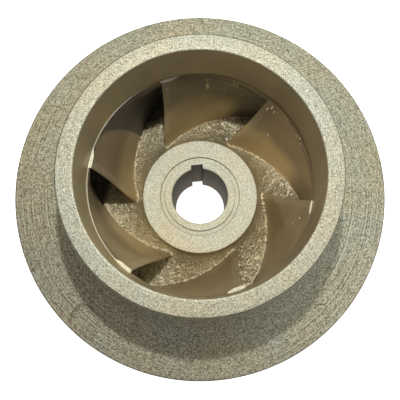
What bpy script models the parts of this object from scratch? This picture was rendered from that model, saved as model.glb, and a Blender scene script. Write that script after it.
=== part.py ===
"""Closed pump impeller, one bronze casting: its hub and flare, two shrouds, inlet neck and six vanes.

Metres, +Z up. The origin is the middle of the rear hub face, and +Z points out of the inlet.
"""

import bisect
import math

import bmesh
import bpy
from mathutils import Matrix, Vector

INCH = 0.0254
SEAM = 0.0003  # the regions of the casting are kept this far apart
SEGMENTS = 72  # around every turned piece
EDGE_BREAK = 0.0005  # chamfer on machined edges

# Hub: bored for a 7/8 in shaft with a 3/16 in key
BORE_RADIUS = 0.875 * INCH / 2
KEY_WIDTH = 0.1875 * INCH
KEYWAY_FLOOR = 0.01275  # from the axis
KEYWAY_ANGLE = math.radians(96)
HUB_LENGTH = 0.0326
HUB_RADIUS = 0.0227
FACE_GROOVE_INNER = 0.0139
FACE_GROOVE_OUTER = 0.0158
FACE_GROOVE_DEPTH = 0.0008

# Back shroud: its front surface sweeps down from the hub and runs flat to the rim
OUTER_RADIUS = 5.25 * INCH / 2
FLOOR_Z = 0.0259
BACK_THICKNESS = 0.0052
BACK_REAR_Z = FLOOR_Z - BACK_THICKNESS
SWEEP_START = HUB_RADIUS + SEAM
SWEEP_WIDTH = 0.0126
SWEEP_DROP = 0.0061
REAR_FILLET = 0.0025
FLARE_RADIUS = 0.0285  # where the hub's flare ends and the back shroud starts

# Front shroud and inlet neck
FRONT_FACE_Z = 0.0498
FRONT_THICKNESS = 0.0040
NECK_RADIUS = 0.0439
RIM_Z = 0.0784
INLET_RADIUS = 0.03836  # machined bore of the neck
LEDGE_Z = 0.0606  # where that bore stops
THROAT_RADIUS = 0.0380  # cast wall just below the ledge
TURN_WIDTH = 0.0100  # quarter ellipse from the ledge to the shroud's underside
TURN_DROP = LEDGE_Z - FRONT_FACE_Z + FRONT_THICKNESS

# Vanes
VANE_COUNT = 6
FIRST_VANE_ROOT = math.radians(117.4)  # where the inner face starts on the back shroud
FIRST_VANE_TIP = math.radians(107.4)  # and where it starts on the throat wall
ROOT_START_RADIUS = 0.0255
TIP_RISE = 0.0006  # how far the cast tips stood above the ledge before the inlet was bored
TRAILING_ANGLE = math.radians(10.0)
TRAILING_RADIUS = OUTER_RADIUS - SEAM
ROOT_BLADE_ANGLES = (math.radians(23.5), math.radians(29.0))  # at the nose, and from the end of the run outwards
TIP_BLADE_ANGLES = (math.radians(7.0), math.radians(38.0))  # flat at the nose, where the tips pass the liquid fastest
BLADE_ANGLE_RUN = 0.0120  # length over which the angle opens
NOSE_THICKNESS = 0.0024
NOSE_LENGTH = 0.0026
VANE_THICKNESS = 0.0034
TAIL_THICKNESS = 0.0026
SWELL_ENDS = 0.3  # share of the vane's length by which it is full thick
THINNING_STARTS = 0.7  # and from which it thins again
STATIONS = 24  # along each face of a vane
NOSE_STEPS = 6
ROWS = 5  # from the back shroud up to the front shroud

CAST_BRONZE = (0.43, 0.36, 0.22, 1.0)
MACHINED_BRONZE = (0.68, 0.62, 0.44, 1.0)
VANE_BRONZE = (0.36, 0.28, 0.16, 1.0)


def clear_scene():
    for obj in list(bpy.data.objects):
        bpy.data.objects.remove(obj, do_unlink=True)


def bronze(name, colour, roughness):
    material = bpy.data.materials.new(name)
    material.use_nodes = True
    shader = material.node_tree.nodes["Principled BSDF"]
    shader.inputs["Base Color"].default_value = colour
    shader.inputs["Roughness"].default_value = roughness
    shader.inputs["Metallic"].default_value = 0.8
    return material


def smooth_step(x):
    x = min(max(x, 0.0), 1.0)
    return x * x * (3 - 2 * x)


def polar(radius, angle, z):
    return Vector((radius * math.cos(angle), radius * math.sin(angle), z))


def quarter_ellipse(centre, width, height, start, end, steps):
    """Points (radius, z) on an ellipse about centre, from one angle to another."""
    points = []
    for i in range(steps + 1):
        a = math.radians(start + (end - start) * i / steps)
        points.append((centre[0] + width * math.cos(a), centre[1] + height * math.sin(a)))
    return points


def finish_object(bm, name, material):
    bmesh.ops.recalc_face_normals(bm, faces=bm.faces)
    mesh = bpy.data.meshes.new(name)
    bm.to_mesh(mesh)
    bm.free()
    mesh.shade_smooth()
    mesh.set_sharp_from_angle(angle=math.radians(30))
    mesh.materials.append(material)
    obj = bpy.data.objects.new(name, mesh)
    bpy.context.scene.collection.objects.link(obj)
    return obj


def turned(name, profile, material):
    """A closed outline of (radius, z) points, spun once round the axis."""
    bm = bmesh.new()
    verts = [bm.verts.new((r, 0, z)) for r, z in profile]
    edges = [bm.edges.new((verts[i - 1], verts[i])) for i in range(len(verts))]
    bmesh.ops.spin(
        bm,
        geom=verts + edges,
        cent=(0, 0, 0),
        axis=(0, 0, 1),
        dvec=(0, 0, 0),
        angle=2 * math.pi,
        steps=SEGMENTS,
        use_merge=True,
        use_duplicate=False,
    )
    return finish_object(bm, name, material)


def as_cutter(obj):
    obj.hide_render = True
    obj.display_type = "WIRE"
    return obj


def cut_away(obj, cutter):
    cut = obj.modifiers.new(cutter.name, "BOOLEAN")
    cut.operation = "DIFFERENCE"
    cut.solver = "EXACT"
    cut.object = cutter


def keyway_cutter():
    """A bar along the bore, as wide as the key, standing out to the keyway's floor."""
    inner = BORE_RADIUS / 2
    bm = bmesh.new()
    bmesh.ops.create_cube(bm, size=1)
    bmesh.ops.scale(bm, vec=(KEYWAY_FLOOR - inner, KEY_WIDTH, HUB_LENGTH * 1.5), verts=bm.verts)
    bmesh.ops.translate(bm, vec=((KEYWAY_FLOOR + inner) / 2, 0, HUB_LENGTH / 2), verts=bm.verts)
    bmesh.ops.rotate(bm, matrix=Matrix.Rotation(KEYWAY_ANGLE, 3, "Z"), verts=bm.verts)
    cutter = finish_object(bm, "keyway_cutter", bronze("keyway_cutter", CAST_BRONZE, 0.5))
    return as_cutter(cutter)


def make_hub():
    edge = EDGE_BREAK
    groove_z = HUB_LENGTH - FACE_GROOVE_DEPTH
    profile = [
        (BORE_RADIUS + edge, 0),
        (HUB_RADIUS - edge, 0),
        (HUB_RADIUS, edge),
        (HUB_RADIUS, HUB_LENGTH - edge),
        (HUB_RADIUS - edge, HUB_LENGTH),
        (FACE_GROOVE_OUTER, HUB_LENGTH),
        (FACE_GROOVE_OUTER, groove_z),
        (FACE_GROOVE_INNER, groove_z),
        (FACE_GROOVE_INNER, HUB_LENGTH),
        (BORE_RADIUS + edge, HUB_LENGTH),
        (BORE_RADIUS, HUB_LENGTH - edge),
        (BORE_RADIUS, edge),
    ]
    hub = turned("hub", profile, bronze("hub", MACHINED_BRONZE, 0.45))
    cut_away(hub, keyway_cutter())


def floor_z(radius):
    """Height of the back shroud's front surface."""
    x = min(max((radius - SWEEP_START) / SWEEP_WIDTH, 0.0), 1.0)
    return FLOOR_Z + SWEEP_DROP * (1 - math.sqrt(1 - (1 - x) ** 2))


def sweep(first_radius, last_radius, steps):
    """Points (radius, z) down the quarter ellipse between the hub and the flat floor."""
    middle = SWEEP_START + SWEEP_WIDTH

    def degrees(radius):
        return 180 + math.degrees(math.acos(min((middle - radius) / SWEEP_WIDTH, 1.0)))

    centre = (middle, FLOOR_Z + SWEEP_DROP)
    return quarter_ellipse(centre, SWEEP_WIDTH, SWEEP_DROP, degrees(first_radius), degrees(last_radius), steps)


def make_hub_flare():
    """The hub runs out into the back shroud: a wide sweep in front, a small fillet behind."""
    fillet_centre = (SWEEP_START + REAR_FILLET, BACK_REAR_Z - REAR_FILLET)
    fillet = quarter_ellipse(fillet_centre, REAR_FILLET, REAR_FILLET, 90, 180, 4)
    profile = sweep(SWEEP_START, FLARE_RADIUS, 6) + [(FLARE_RADIUS, BACK_REAR_Z)] + fillet
    turned("hub_flare", profile, bronze("hub_flare", CAST_BRONZE, 0.6))


def make_back_shroud():
    inner = FLARE_RADIUS + SEAM
    profile = sweep(inner, SWEEP_START + SWEEP_WIDTH, 4) + [
        (OUTER_RADIUS - EDGE_BREAK, FLOOR_Z),
        (OUTER_RADIUS, FLOOR_Z - EDGE_BREAK),
        (OUTER_RADIUS, BACK_REAR_Z + EDGE_BREAK),
        (OUTER_RADIUS - EDGE_BREAK, BACK_REAR_Z),
        (inner, BACK_REAR_Z),
    ]
    turned("back_shroud", profile, bronze("back_shroud", CAST_BRONZE, 0.6))


def turn_centre():
    return (THROAT_RADIUS + TURN_WIDTH, FRONT_FACE_Z - FRONT_THICKNESS + TURN_DROP)


def turn_degrees(z):
    """Where the turn's quarter ellipse passes the height z, as its angle in degrees."""
    return 180 + math.degrees(math.asin((turn_centre()[1] - z) / TURN_DROP))


def make_front_shroud():
    under_z = FRONT_FACE_Z - FRONT_THICKNESS
    turn = quarter_ellipse(turn_centre(), TURN_WIDTH, TURN_DROP, 270, turn_degrees(FRONT_FACE_Z), 6)
    profile = turn + [
        (OUTER_RADIUS - EDGE_BREAK, FRONT_FACE_Z),
        (OUTER_RADIUS, FRONT_FACE_Z - EDGE_BREAK),
        (OUTER_RADIUS, under_z + EDGE_BREAK),
        (OUTER_RADIUS - EDGE_BREAK, under_z),
    ]
    turned("front_shroud", profile, bronze("front_shroud", CAST_BRONZE, 0.6))


def make_inlet_neck():
    foot_z = FRONT_FACE_Z + SEAM
    turn = quarter_ellipse(turn_centre(), TURN_WIDTH, TURN_DROP, turn_degrees(foot_z), 180, 5)
    profile = turn + [
        (INLET_RADIUS, LEDGE_Z),
        (INLET_RADIUS, RIM_Z - EDGE_BREAK),
        (INLET_RADIUS + EDGE_BREAK, RIM_Z),
        (NECK_RADIUS - EDGE_BREAK, RIM_Z),
        (NECK_RADIUS, RIM_Z - EDGE_BREAK),
        (NECK_RADIUS, foot_z),
    ]
    turned("inlet_neck", profile, bronze("inlet_neck", MACHINED_BRONZE, 0.5))


def root_meridian(steps=60):
    """Points (radius, z) just above the back shroud, from the vane's nose to its tail."""
    points = []
    for i in range(steps + 1):
        radius = ROOT_START_RADIUS + (TRAILING_RADIUS - ROOT_START_RADIUS) * i / steps
        points.append((radius, floor_z(radius) + SEAM))
    return points


def tip_meridian(steps=60):
    """Points (radius, z) just inside the throat wall and under the front shroud."""
    centre = turn_centre()
    turn = quarter_ellipse(centre, TURN_WIDTH + SEAM, TURN_DROP + SEAM, 180, 270, steps)
    return [(turn[0][0], LEDGE_Z + TIP_RISE)] + turn + [(TRAILING_RADIUS, turn[-1][1])]


class Meridian:
    """A curve of (radius, z) points, read by its length along the curve."""

    def __init__(self, points):
        self.points = points
        self.lengths = [0.0]
        for a, b in zip(points, points[1:]):
            self.lengths.append(self.lengths[-1] + math.dist(a, b))
        self.length = self.lengths[-1]

    def at(self, m):
        m = min(max(m, 0.0), self.length)
        i = 1
        while self.lengths[i] < m:
            i += 1
        t = (m - self.lengths[i - 1]) / (self.lengths[i] - self.lengths[i - 1])
        a, b = self.points[i - 1], self.points[i]
        return a[0] + (b[0] - a[0]) * t, a[1] + (b[1] - a[1]) * t


def blade_angle(m, blade_angles):
    at_nose, further_out = blade_angles
    return at_nose + (further_out - at_nose) * smooth_step(m / BLADE_ANGLE_RUN)


def thickness(x):
    """Across the vane, x running from 0 at the nose to 1 at the tail."""
    swell = NOSE_THICKNESS + (VANE_THICKNESS - NOSE_THICKNESS) * smooth_step(x / SWELL_ENDS)
    thinning = smooth_step((x - THINNING_STARTS) / (1 - THINNING_STARTS))
    return swell - (VANE_THICKNESS - TAIL_THICKNESS) * thinning


class Spiral:
    """The line of a vane's inner face on one shroud, turning round the axis down to the trailing angle."""

    def __init__(self, meridian, first, blade_angles, steps=400):
        self.first = first
        self.step = meridian.length / steps
        self.turned_by = [0.0]
        for i in range(steps):
            m = (i + 0.5) * self.step
            slope = math.tan(blade_angle(m, blade_angles))
            self.turned_by.append(self.turned_by[-1] + self.step / (meridian.at(m)[0] * slope))

    def angle(self, m):
        """Angle round the axis at a length along the meridian."""
        x = min(m / self.step, len(self.turned_by) - 1.001)
        i = int(x)
        turned_by = self.turned_by[i] + (self.turned_by[i + 1] - self.turned_by[i]) * (x - i)
        return self.first - turned_by / self.turned_by[-1] * (self.first - TRAILING_ANGLE)

    def length(self, share):
        """Length along the meridian by which the line has made that share of its turn."""
        wanted = share * self.turned_by[-1]
        i = min(max(bisect.bisect_right(self.turned_by, wanted), 1), len(self.turned_by) - 1)
        low, high = self.turned_by[i - 1], self.turned_by[i]
        return (i - 1 + min((wanted - low) / (high - low), 1.0)) * self.step


def vane_section(meridian, first, blade_angles):
    """The vane's outline on one shroud: the inner face, round the nose, then the outer face."""
    line = Spiral(meridian, first, blade_angles)
    nose_angle = blade_angles[0]
    half = NOSE_THICKNESS / 2
    outer_start = NOSE_THICKNESS * math.cos(nose_angle)
    start_radius = meridian.at(0.0)[0]

    def inner(i):
        m = line.length(i / STATIONS)
        radius, z = meridian.at(m)
        return polar(radius, line.angle(m), z)

    def outer(i):
        share = line.length(i / STATIONS) / meridian.length
        m = outer_start + (meridian.length - outer_start) * share
        radius, z = meridian.at(m)
        across = thickness(m / meridian.length) / (radius * math.sin(blade_angle(m, blade_angles)))
        return polar(radius, line.angle(m) + across, z)

    def nose(i):
        turn = math.pi * i / NOSE_STEPS - math.pi / 2
        along = NOSE_LENGTH * math.cos(turn)
        sideways = half * (1 + math.sin(turn))
        m = sideways * math.cos(nose_angle) - along * math.sin(nose_angle)
        around = sideways * math.sin(nose_angle) + along * math.cos(nose_angle)
        radius, z = meridian.at(m)
        if m < 0:
            radius += m * meridian_slope(meridian)[0]
            z += m * meridian_slope(meridian)[1]
        return polar(radius, first + around / start_radius, z)

    inner_face = [inner(i) for i in range(STATIONS, -1, -1)]
    rounding = [nose(i) for i in range(1, NOSE_STEPS)]
    outer_face = [outer(i) for i in range(STATIONS + 1)]
    return inner_face + rounding + outer_face


def meridian_slope(meridian):
    """Unit direction (radius, z) in which the meridian leaves its first point."""
    a, b = meridian.points[0], meridian.points[1]
    length = math.dist(a, b)
    return (b[0] - a[0]) / length, (b[1] - a[1]) / length


def ledge_cutter():
    """A block over the ledge plane, which leaves the vane tips flat where the inlet was bored."""
    bottom = LEDGE_Z - SEAM
    bm = bmesh.new()
    bmesh.ops.create_cube(bm, size=1)
    bmesh.ops.scale(bm, vec=(2 * NECK_RADIUS, 2 * NECK_RADIUS, RIM_Z - bottom), verts=bm.verts)
    bmesh.ops.translate(bm, vec=(0, 0, (RIM_Z + bottom) / 2), verts=bm.verts)
    cutter = finish_object(bm, "ledge_cutter", bronze("ledge_cutter", CAST_BRONZE, 0.5))
    return as_cutter(cutter)


def make_vane(number, root, tip, material, cutter):
    """Straight lines join the outline on the back shroud to the one under the front shroud."""
    turn = Matrix.Rotation(-2 * math.pi * (number - 1) / VANE_COUNT, 3, "Z")
    bm = bmesh.new()
    rows = []
    for row in range(ROWS + 1):
        t = row / ROWS
        rows.append([bm.verts.new(turn @ low.lerp(high, t)) for low, high in zip(root, tip)])
    count = len(root)
    for lower, upper in zip(rows, rows[1:]):
        for i in range(count):
            j = (i + 1) % count
            bm.faces.new((lower[i], lower[j], upper[j], upper[i]))
    for row in (rows[0], rows[-1]):
        for i in range(STATIONS):
            bm.faces.new((row[i], row[i + 1], row[count - 2 - i], row[count - 1 - i]))
        bm.faces.new(row[STATIONS : count - STATIONS])
    cut_away(finish_object(bm, f"vane_{number}", material), cutter)


def make_vanes():
    root = vane_section(Meridian(root_meridian()), FIRST_VANE_ROOT, ROOT_BLADE_ANGLES)
    tip = vane_section(Meridian(tip_meridian()), FIRST_VANE_TIP, TIP_BLADE_ANGLES)
    cutter = ledge_cutter()
    for number in range(1, VANE_COUNT + 1):
        make_vane(number, root, tip, bronze(f"vane_{number}", VANE_BRONZE, 0.5), cutter)


def main():
    clear_scene()
    make_hub()
    make_hub_flare()
    make_back_shroud()
    make_front_shroud()
    make_inlet_neck()
    make_vanes()


main()
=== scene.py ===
"""The looks of a closed bronze pump impeller: one sand casting, bored and faced at its inlet and hub.

Metres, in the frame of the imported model: +Z points out of the inlet and z = 0 is the rear hub face.
"""

import math
import random

import bmesh
import bpy
import numpy as np
from mathutils import Matrix, Vector, noise


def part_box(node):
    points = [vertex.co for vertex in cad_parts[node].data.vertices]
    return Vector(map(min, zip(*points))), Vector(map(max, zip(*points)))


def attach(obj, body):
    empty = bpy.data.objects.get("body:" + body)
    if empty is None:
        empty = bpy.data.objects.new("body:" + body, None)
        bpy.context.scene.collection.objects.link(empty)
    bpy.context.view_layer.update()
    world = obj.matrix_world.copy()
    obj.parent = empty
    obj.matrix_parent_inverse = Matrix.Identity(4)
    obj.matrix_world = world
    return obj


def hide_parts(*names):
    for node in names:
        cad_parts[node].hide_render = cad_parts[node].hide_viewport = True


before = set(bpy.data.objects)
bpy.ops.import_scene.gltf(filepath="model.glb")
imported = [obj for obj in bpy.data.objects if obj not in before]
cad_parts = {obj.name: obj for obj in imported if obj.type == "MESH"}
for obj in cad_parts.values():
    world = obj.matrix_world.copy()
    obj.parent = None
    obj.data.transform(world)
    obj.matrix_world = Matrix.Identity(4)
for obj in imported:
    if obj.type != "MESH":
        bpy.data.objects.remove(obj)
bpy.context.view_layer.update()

MM = 0.001
TAU = 2 * math.pi

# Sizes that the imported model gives
HUB_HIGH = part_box("hub")[1]
NECK_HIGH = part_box("inlet_neck")[1]
FRONT_LOW, FRONT_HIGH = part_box("front_shroud")
BACK_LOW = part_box("back_shroud")[0]
HUB_RADIUS = HUB_HIGH.x
HUB_TOP = HUB_HIGH.z
NECK_RADIUS = NECK_HIGH.x
RIM_Z = NECK_HIGH.z
OUTER_RADIUS = FRONT_HIGH.x
FLANGE_Z = FRONT_HIGH.z
UNDER_Z = FRONT_LOW.z
REAR_Z = BACK_LOW.z
INSET = 0.02 * MM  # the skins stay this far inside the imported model's rim and outer edge
TAIL_INSET = 0.1 * MM  # and the vanes' tails this far

# Hub
INCH_IN_MM = 25.4
BORE_RADIUS = 0.875 * INCH_IN_MM / 2 * MM
KEY_WIDTH = 0.1875 * INCH_IN_MM * MM
KEYWAY_FLOOR = 12.75 * MM
KEYWAY_ANGLE = math.radians(96)
GROOVE_INNER = 13.9 * MM
GROOVE_OUTER = 15.8 * MM
GROOVE_DEPTH = 0.8 * MM
GROOVE_SLOPE = 0.05 * MM
GROOVE_SHADE_WIDTH = 0.2 * MM  # how far painted shade lies in the groove's corners

# Back shroud
FLOOR_Z = 25.9 * MM
SWEEP_WIDTH = 12.9 * MM
SWEEP_DROP = 6.1 * MM
REAR_FILLET = 2.5 * MM
ROUGH_FADE = 3 * MM  # the floor's relief grows over this width from the hub
FINE_LIFT = 0.24  # the floor's relief in mm: fine lumps, broad lumps and creased ridges, one over the other
BROAD_LIFT = 0.22
RIDGE_LIFT = 0.26

# Inlet and front shroud
INLET_RADIUS = 38.36 * MM
THROAT_RADIUS = 38.2 * MM
LEDGE_Z = 60.6 * MM
TURN_WIDTH = 10.0 * MM
TURN_DROP = LEDGE_Z - UNDER_Z
THROAT_LIFT = 0.08 * MM  # the relief of the throat wall
CORE_SHIFT = 0.22 * MM  # the sand core lay this far off the bored axis
CORE_SHIFT_ANGLE = math.radians(10)

# Vanes
VANE_COUNT = 6
ROOT_ANGLE = math.radians(117.4)
TIP_ANGLE = math.radians(107.4)
ROOT_START = 25.5 * MM
TAIL_ANGLE = math.radians(10.0)
TAIL_RADIUS = OUTER_RADIUS - 0.35 * MM
ROOT_BURIED = 0.9 * MM
TIP_BURIED = 1.8 * MM
ROOT_BLADE_ANGLES = (math.radians(23.5), math.radians(29.0))
TIP_BLADE_ANGLES = (math.radians(7.0), math.radians(38.0))
BLADE_ANGLE_RUN = 12.0 * MM
NOSE_THICKNESS = 2.4 * MM
NOSE_LENGTH = 2.6 * MM
VANE_THICKNESS = 3.4 * MM
TAIL_THICKNESS = 2.6 * MM
SWELL_ENDS = 0.3
THINNING_STARTS = 0.7
ROOT_FILLET = 0.8 * MM
TIP_FILLET = 4.0 * MM
NOSE_FILLET = 0.5 * MM  # the tip's fillet starts this small and grows over FILLET_RUN
FILLET_RUN = 14.0 * MM
PAD_RUN = 4.5 * MM  # the pads run this far along the throat wall
PAD_DEPTH = 3.0 * MM  # and this far down it
SAG = 0.8 * MM  # how far the nose bows out between root and tip
FAR_SAG = 0.4 * MM  # and the vane beyond SAG_ENDS, a share of its turn
SAG_ENDS = 0.45
SAG_SKEW = 0.8  # under 1, so that it bows most below the middle

# The sand cores lay unevenly, so each vane from vane_1 on has its own turn of the tip, its own rise of the
# tip's end over the ledge, and its own pad, which is how far the nose stands in from the throat wall
TIP_TURNS = [math.radians(turn) for turn in (-0.5, 0.0, -1.3, 0.5, 1.2, 0.9)]
TIP_RISES = [rise * MM for rise in (0.5, -1.5, 0.15, 0.25, 0.55, 0.6)]
PADS = [pad * MM for pad in (1.1, 0.0, 0.5, 1.3, 1.6, 1.7)]

# Beads of metal that ran out along the seam between a vane's inner face and the floor
BEAD_PITCH = 0.56 * MM
BEAD_STEPS = (0.6, 1.9)  # least and greatest step from one to the next, in pitches
BEAD_SIZES = (0.26, 0.50)  # least and greatest, in mm
BEAD_STRETCH = (0.7, 1.5)  # along x and along y
BEAD_SCATTER = 0.15  # mm
BEADS_END = 48.0 * MM

# Drips on the vanes: where (degrees round the axis and height), width, length
DRIPS = [
    (86.0, 57.6 * MM, 0.8 * MM, 1.4 * MM),
    (85.6, 54.0 * MM, 1.1 * MM, 3.4 * MM),
    (71.4, 57.4 * MM, 0.7 * MM, 2.6 * MM),
    (69.6, 56.4 * MM, 0.6 * MM, 2.2 * MM),
    (67.0, 57.2 * MM, 0.5 * MM, 2.0 * MM),
    (66.0, 50.0 * MM, 0.4 * MM, 1.2 * MM),
    (76.0, 50.5 * MM, 0.5 * MM, 0.9 * MM),
    (46.8, 57.0 * MM, 0.6 * MM, 1.5 * MM),
    (44.6, 56.2 * MM, 0.5 * MM, 1.2 * MM),
    (48.6, 55.2 * MM, 0.5 * MM, 1.0 * MM),
    (26.4, 56.6 * MM, 0.5 * MM, 1.0 * MM),
    (24.4, 57.2 * MM, 0.6 * MM, 1.2 * MM),
    (22.0, 55.6 * MM, 0.5 * MM, 1.0 * MM),
    (18.0, 54.6 * MM, 0.4 * MM, 1.0 * MM),
    (40.0, 44.0 * MM, 0.4 * MM, 0.6 * MM),
    (341.0, 55.0 * MM, 0.5 * MM, 0.9 * MM),
    (338.0, 51.0 * MM, 0.4 * MM, 0.7 * MM),
    (352.0, 46.0 * MM, 0.4 * MM, 0.8 * MM),
]
DRIP_HALVES = (0.75, 0.6, 0.7)  # half sizes across, down and out of the face, in widths, lengths and widths
DRIP_LUMPS = 0.18  # mm

# Casting marks on the front shroud: middle of the curve (mm), its radius, first and last degree, half width
MARKS = [
    ((-40.4, -45.2), 3.9, 20, 200, 0.22),
    ((-40.6, -44.6), 2.6, 40, 170, 0.18),
    ((-39.0, -46.6), 2.9, 5, 120, 0.16),
    ((41.6, -46.6), 5.4, 68, 112, 0.26),
    ((43.6, -47.8), 1.2, 30, 150, 0.12),
]
MARK_SIDES = 8
MARK_STEP = 6  # degrees
MARK_WANDER = 0.2  # mm

# Fineness of the meshes
SEGMENTS = 720  # round the two shrouds
HUB_SEGMENTS = 240
STATIONS = 110  # along each face of a vane
NOSE_STEPS = 12
VANE_ROWS = 46  # from its root to its tip
MERIDIAN_POINTS = 61
TURN_SAMPLES = 401

# The camera and the two lamps
CAMERA_PLACE = (0.0, -32.615 * MM, 213.078 * MM)
CAMERA_TILT = math.radians(9.715)
LENS_MM = 41.53
KEY_PLACE = (1.1 * MM, 51.3 * MM, 248.3 * MM)
LAMP_PLACE = (180 * MM, -50 * MM, 165 * MM)

# Windows: azimuth and elevation in degrees, strength, colour
WINDOWS = {
    "window_right": (45, 18, 1.95, (0.90, 1.0, 0.86)),
    "window_left": (203, 46, 0.50, (1.0, 0.90, 0.76)),
    "window_behind": (90, 50, 0.30, (1.0, 0.88, 0.50)),
    "window_far_left": (150, 35, 0.26, (1.0, 0.98, 0.90)),
}
WINDOW_WIDTH = math.radians(50)
FLOOR_RADIUS = 1.5
DOME_RADIUS = 2.0

# Colours of what lies on the metal, and of the painted light and shade on it
# painted light: the gold of the lit lower vanes
PAINTED_LIGHT_GOLD = (0.86, 0.68, 0.38)
BRIGHT_SPECK = (0.72, 0.68, 0.56)
# painted shade deep inside the passages
PASSAGE_SHADE = (0.055, 0.047, 0.036)
# painted shade on the upper parts of two vanes
VANE_SHADE = (0.075, 0.062, 0.057)
# painted shade on the wall under the ledge
LEDGE_SHADE = (0.16, 0.10, 0.07)
BROWN = (0.30, 0.24, 0.15)


def smooth_step(x):
    x = np.clip(x, 0.0, 1.0)
    return x * x * (3 - 2 * x)


class Graph:
    """A material under construction: nodes are added by kind, and their inputs set or linked by name."""

    def __init__(self, name):
        self.material = bpy.data.materials.new(name)
        self.material.use_nodes = True
        self.tree = self.material.node_tree
        self.shader = self.tree.nodes["Principled BSDF"]
        self.position = self.add("TexCoord", "Object")

    def put(self, socket, value):
        if isinstance(value, bpy.types.NodeSocket):
            self.tree.links.new(value, socket)
        else:
            socket.default_value = value

    def add(self, kind, out, settings=None, **values):
        node = self.tree.nodes.new("ShaderNode" + kind)
        for key, value in (settings or {}).items():
            setattr(node, key, value)
        for key, value in values.items():
            self.put(node.inputs[key.replace("_", " ")], value)
        return node.outputs[out]

    def math(self, operation, a, b=0.0):
        node = self.tree.nodes.new("ShaderNodeMath")
        node.operation = operation
        self.put(node.inputs[0], a)
        self.put(node.inputs[1], b)
        return node.outputs[0]

    def plus(self, a, b):
        return self.math("ADD", a, b)

    def minus(self, a, b):
        return self.math("SUBTRACT", a, b)

    def times(self, a, b):
        return self.math("MULTIPLY", a, b)

    def larger(self, a, b):
        return self.math("MAXIMUM", a, b)

    def span(self, value, low, high, to_low=0.0, to_high=1.0):
        ends = {"From_Min": low, "From_Max": high, "To_Min": to_low, "To_Max": to_high}
        return self.add("MapRange", 0, Value=value, **ends)

    def smooth(self, value, low, high):
        settings = {"interpolation_type": "SMOOTHSTEP"}
        return self.add("MapRange", 0, settings, Value=value, From_Min=low, From_Max=high)

    def calmed(self, value, calm):
        """The value drawn towards 0.5, as calm goes from 1 to 0."""
        return self.plus(self.times(self.minus(value, 0.5), calm), 0.5)

    def mix(self, factor, a, b, blend="MIX"):
        node = self.tree.nodes.new("ShaderNodeMix")
        node.data_type = "RGBA"
        node.blend_type = blend
        self.put(node.inputs["Factor"], factor)
        for socket, value in zip([s for s in node.inputs if s.type == "RGBA"], (a, b)):
            self.put(socket, value if isinstance(value, bpy.types.NodeSocket) else (*value, 1.0))
        return next(s for s in node.outputs if s.type == "RGBA")

    def noise(self, size, detail=2.0, vector=None):
        """Noise whose features are about size across, centred on 0.5."""
        return self.add("TexNoise", 0, Vector=vector or self.position, Scale=0.5 / size, Detail=detail)

    def axes(self):
        node = self.tree.nodes.new("ShaderNodeSeparateXYZ")
        self.tree.links.new(self.position, node.inputs[0])
        return node.outputs

    def radius(self):
        x, y, _ = self.axes()
        return self.math("SQRT", self.plus(self.times(x, x), self.times(y, y)))

    def round_the_axis(self, stretch):
        """Coordinates (radius, arc length, height), the arc squeezed so that grains lie along it."""
        middle_radius = 50 * MM
        x, y, z = self.axes()
        arc = self.times(self.math("ARCTAN2", y, x), middle_radius / stretch)
        return self.add("CombineXYZ", 0, X=self.radius(), Y=arc, Z=z)

    def grains(self, size, vector=None):
        """A random value from 0 to 1 for each grain of about that size."""
        cell = self.add("TexVoronoi", "Color", Vector=vector or self.position, Scale=1 / size)
        return self.add("SeparateXYZ", 0, Vector=cell)

    def specks(self, size, share):
        """1 inside round specks, one in that share of the cells, and 0 between them."""
        speck_radius = 0.32  # of a cell's size
        random_value = self.grains(size)
        distance = self.add("TexVoronoi", "Distance", Vector=self.position, Scale=1 / size)
        chosen = self.math("LESS_THAN", random_value, share)
        return self.times(chosen, self.math("LESS_THAN", distance, speck_radius))

    def finish(self, colour, roughness, metallic, height=None, depth=0.1 * MM, strength=1.0):
        self.put(self.shader.inputs["Base Color"], colour)
        self.put(self.shader.inputs["Roughness"], roughness)
        self.shader.inputs["Metallic"].default_value = metallic
        if height is not None:
            bump = self.add("Bump", 0, Height=height, Distance=depth, Strength=strength)
            self.put(self.shader.inputs["Normal"], bump)
        return self.material


def painted_passage_shade(g):
    """1 where painted shade darkens the passages deep inside, where little light reaches, and 0 at the inlet
    and the outlets.

    It comes nearer to the eye on the side of +Y and less near just under the ledge, and is thinner at +X.
    """
    nearer_at_y = 5 * MM
    less_near_high_up = -3 * MM
    thinner_at_x = 0.25
    x, y, z = g.axes()
    r = g.radius()
    side = g.smooth(g.plus(y, g.times(x, -0.3)), 0.0, 15 * MM)
    high = g.smooth(z, 48 * MM, 58 * MM)
    moved = g.plus(g.times(side, nearer_at_y), g.times(high, less_near_high_up))
    into = g.smooth(g.plus(r, moved), 41 * MM, 44.5 * MM)
    out = g.smooth(r, 58 * MM, 66 * MM)
    thinner = g.minus(1.0, g.times(g.smooth(x, 0.0, 12 * MM), thinner_at_x))
    return g.times(g.times(into, thinner), g.minus(1.0, out))


def painted_light_on_vanes(g):
    """How far painted light brightens the skin to gold, where light falls on it: low on the vanes, most at +X,
    next at -X and none at -Y.
    """
    ragged = 5 * MM
    x, y, z = g.axes()
    low = g.smooth(g.plus(z, g.times(g.noise(4 * MM), ragged)), 48 * MM, 39 * MM)
    upward = g.plus(y, g.times(x, -0.55))
    here = g.times(low, g.smooth(upward, -20 * MM, -8 * MM))
    at_right = g.span(x, 12 * MM, 26 * MM, 0.3, 0.7)
    at_left = g.span(x, -14 * MM, -24 * MM, 0.3, 0.5)
    return g.times(here, g.larger(at_right, at_left))


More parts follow.
